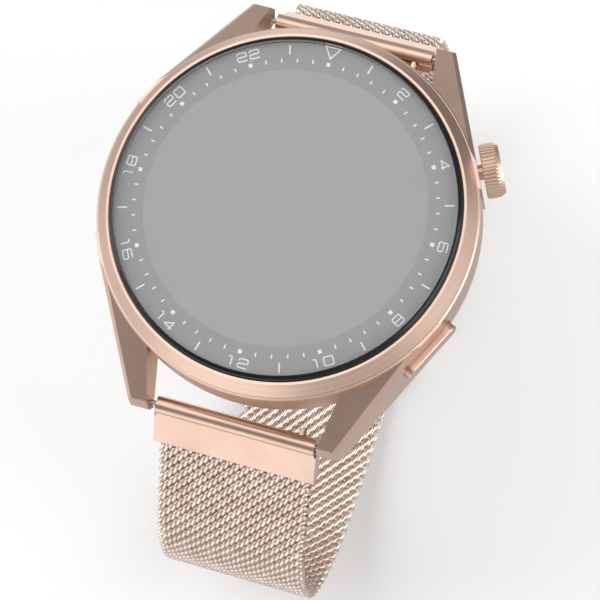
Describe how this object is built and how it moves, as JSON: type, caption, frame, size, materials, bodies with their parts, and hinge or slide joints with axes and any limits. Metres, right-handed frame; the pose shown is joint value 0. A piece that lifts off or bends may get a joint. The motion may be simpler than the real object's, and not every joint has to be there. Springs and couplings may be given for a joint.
{
  "type": "smartwatch",
  "caption": "Round smartwatch with a brushed bezel, flat glass face, crown and side button, on a woven metal mesh strap that closes in a loop and opens at a magnetic clasp.",
  "frame": {"origin": "centre of the rear sensor window's flat outer face, where the watch touches the wrist", "axes": "+Z out of the glass, +Y to 12 o'clock along the strap, +X to 3 o'clock, the crown's side"},
  "size_m": [0.0504, 0.0788, 0.0655],
  "materials": {
    "case_metal": "polished rose-gold plated steel",
    "bezel_metal": "brushed rose-gold cone with a polished land",
    "link_metal": "polished rose-gold plated steel",
    "mesh_steel": "woven rose-gold plated steel wire",
    "cover_glass": "clear flat glass",
    "black_rim": "glossy black rim",
    "dial_grey": "satin grey",
    "display_grey": "satin grey, slightly lighter",
    "white_print": "white print",
    "dark_plastic": "moulded dark plastic",
    "rear_plastic": "smooth black",
    "copper": "copper",
    "flex_orange": "polyimide film",
    "circuit_board": "solder-masked board",
    "tin_plate": "bright plated steel",
    "battery_foil": "foil pouch",
    "seal_rubber": "soft black rubber",
    "screw_steel": "stainless steel",
    "sensor_glass": "dark tinted glass",
    "magnet": "nickel plated magnet"
  },
  "bodies": {
    "case": {"mid_case": "case_metal", "bezel_ring": "bezel_metal", "cover_glass": "cover_glass", "crystal_rim": "black_rim", "hour_ring": "dial_grey", "display_panel": "display_grey", "hour_marks": "white_print", "inner_frame": "dark_plastic", "antenna_ring": "copper", "display_flex": "flex_orange", "main_board": "circuit_board", "shield_can": "tin_plate", "battery": "battery_foil", "haptic_motor": "tin_plate", "speaker": "dark_plastic", "microphone": "tin_plate", "rear_cover": "rear_plastic", "rear_gasket": "seal_rubber", "rear_screws": "screw_steel", "sensor_window": "sensor_glass", "sensor_board": "circuit_board", "optical_barrier": "dark_plastic", "charging_coil": "copper", "crown_tube": "case_metal", "crown_switch": "tin_plate", "button_switch": "tin_plate"},
    "crown_carrier": {"crown_pusher": "dark_plastic"},
    "crown": {"crown_cap": "case_metal", "crown_stem": "case_metal", "crown_seals": "seal_rubber", "encoder_wheel": "dark_plastic"},
    "side_button": {"button_cap": "case_metal", "button_plunger": "screw_steel", "button_seal": "seal_rubber"},
    "lower_link": {"lower_end_link": "link_metal", "lower_spring_bar": "screw_steel", "lower_mesh_1": "mesh_steel"},
    "lower_release": {"lower_release_pin": "link_metal"},
    "lower_mid": {"lower_mesh_2": "mesh_steel"},
    "lower_end": {"lower_mesh_3": "mesh_steel", "clasp_lower_plate": "case_metal", "lower_magnets": "magnet"},
    "upper_link": {"upper_end_link": "link_metal", "upper_spring_bar": "screw_steel", "upper_mesh_1": "mesh_steel"},
    "upper_release": {"upper_release_pin": "link_metal"},
    "upper_mid": {"upper_mesh_2": "mesh_steel"},
    "upper_end": {"upper_mesh_3": "mesh_steel", "clasp_upper_plate": "case_metal", "upper_magnets": "magnet"}
  },
  "joints": [
    {"name": "crown_press", "type": "slide", "parent": "case", "child": "crown_carrier", "axis": [-0.8988, -0.4384, 0], "range_m": [0, 0.0005], "stiffness_N_per_m": 2500, "springref_m": -0.0004},
    {"name": "crown_turn", "type": "hinge", "parent": "crown_carrier", "child": "crown", "pos_m": [0.02105, 0.0116, 0.0078], "axis": [0.8988, 0.4384, 0], "continuous": true},
    {"name": "button_press", "type": "slide", "parent": "case", "child": "side_button", "axis": [-0.8988, 0.4384, 0], "range_m": [0, 0.0004], "stiffness_N_per_m": 3000, "springref_m": -0.0004},
    {"name": "lower_link_pivot", "type": "hinge", "parent": "case", "child": "lower_link", "pos_m": [0, -0.0269, 0.00185], "axis": [-1, 0, 0], "range_deg": [0, 45]},
    {"name": "lower_bend_1", "type": "hinge", "parent": "lower_link", "child": "lower_mid", "pos_m": [0, -0.04237, -0.02939], "axis": [-1, 0, 0], "range_deg": [0, 60]},
    {"name": "lower_bend_2", "type": "hinge", "parent": "lower_mid", "child": "lower_end", "pos_m": [0, -0.03327, -0.04515], "axis": [-1, 0, 0], "range_deg": [0, 60]},
    {"name": "upper_link_pivot", "type": "hinge", "parent": "case", "child": "upper_link", "pos_m": [0, 0.0269, 0.00185], "axis": [1, 0, 0], "range_deg": [0, 45]},
    {"name": "upper_bend_1", "type": "hinge", "parent": "upper_link", "child": "upper_mid", "pos_m": [0, 0.03521, -0.02993], "axis": [1, 0, 0], "range_deg": [0, 60]},
    {"name": "upper_bend_2", "type": "hinge", "parent": "upper_mid", "child": "upper_end", "pos_m": [0, 0.02598, -0.04593], "axis": [1, 0, 0], "range_deg": [0, 60]},
    {"name": "lower_release_slide", "type": "slide", "parent": "lower_link", "child": "lower_release", "axis": [-1, 0, 0], "range_m": [0, 0.0015], "stiffness_N_per_m": 400, "springref_m": -0.001},
    {"name": "upper_release_slide", "type": "slide", "parent": "upper_link", "child": "upper_release", "axis": [-1, 0, 0], "range_m": [0, 0.0015], "stiffness_N_per_m": 400, "springref_m": -0.001}
  ],
  "couplings": [
    {"joint": "lower_bend_1", "follows": "lower_link_pivot", "ratio": 1.3333},
    {"joint": "lower_bend_2", "follows": "lower_link_pivot", "ratio": 1.3333},
    {"joint": "upper_link_pivot", "follows": "lower_link_pivot", "ratio": 1},
    {"joint": "upper_bend_1", "follows": "lower_link_pivot", "ratio": 1.3333},
    {"joint": "upper_bend_2", "follows": "lower_link_pivot", "ratio": 1.3333}
  ]
}
